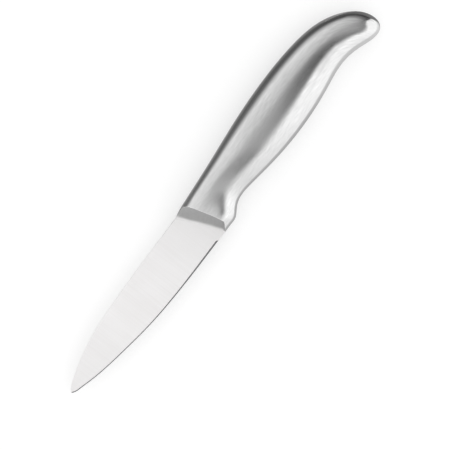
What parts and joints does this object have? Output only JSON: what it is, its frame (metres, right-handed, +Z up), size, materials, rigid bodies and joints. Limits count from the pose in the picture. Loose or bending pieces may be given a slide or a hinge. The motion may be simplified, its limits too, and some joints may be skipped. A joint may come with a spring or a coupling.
{
  "type": "paring knife",
  "caption": "Small all-steel paring knife: short pointed blade, matt sloping bolster and hollow S-curved handle with a hooked tail, for peeling and trimming food.",
  "frame": {"origin": "under the middle of the knife's box, on the surface that it lies on", "axes": "+X from the blade's tip to the handle's tail, +Y from the cutting edge to the spine, +Z up out of the left flank; the knife lies on its right flank"},
  "size_m": [0.201, 0.0264, 0.0147],
  "materials": {
    "blade_steel": "satin",
    "bolster_steel": "matte",
    "handle_steel": "satin",
    "weld_steel": "satin"
  },
  "bodies": {
    "root": {"blade": "blade_steel", "bolster": "bolster_steel", "handle_shell_left": "handle_steel", "handle_shell_right": "handle_steel", "seam_weld": "handle_steel", "bolster_weld": "handle_steel", "tang_weld": "weld_steel"}
  },
  "joints": []
}
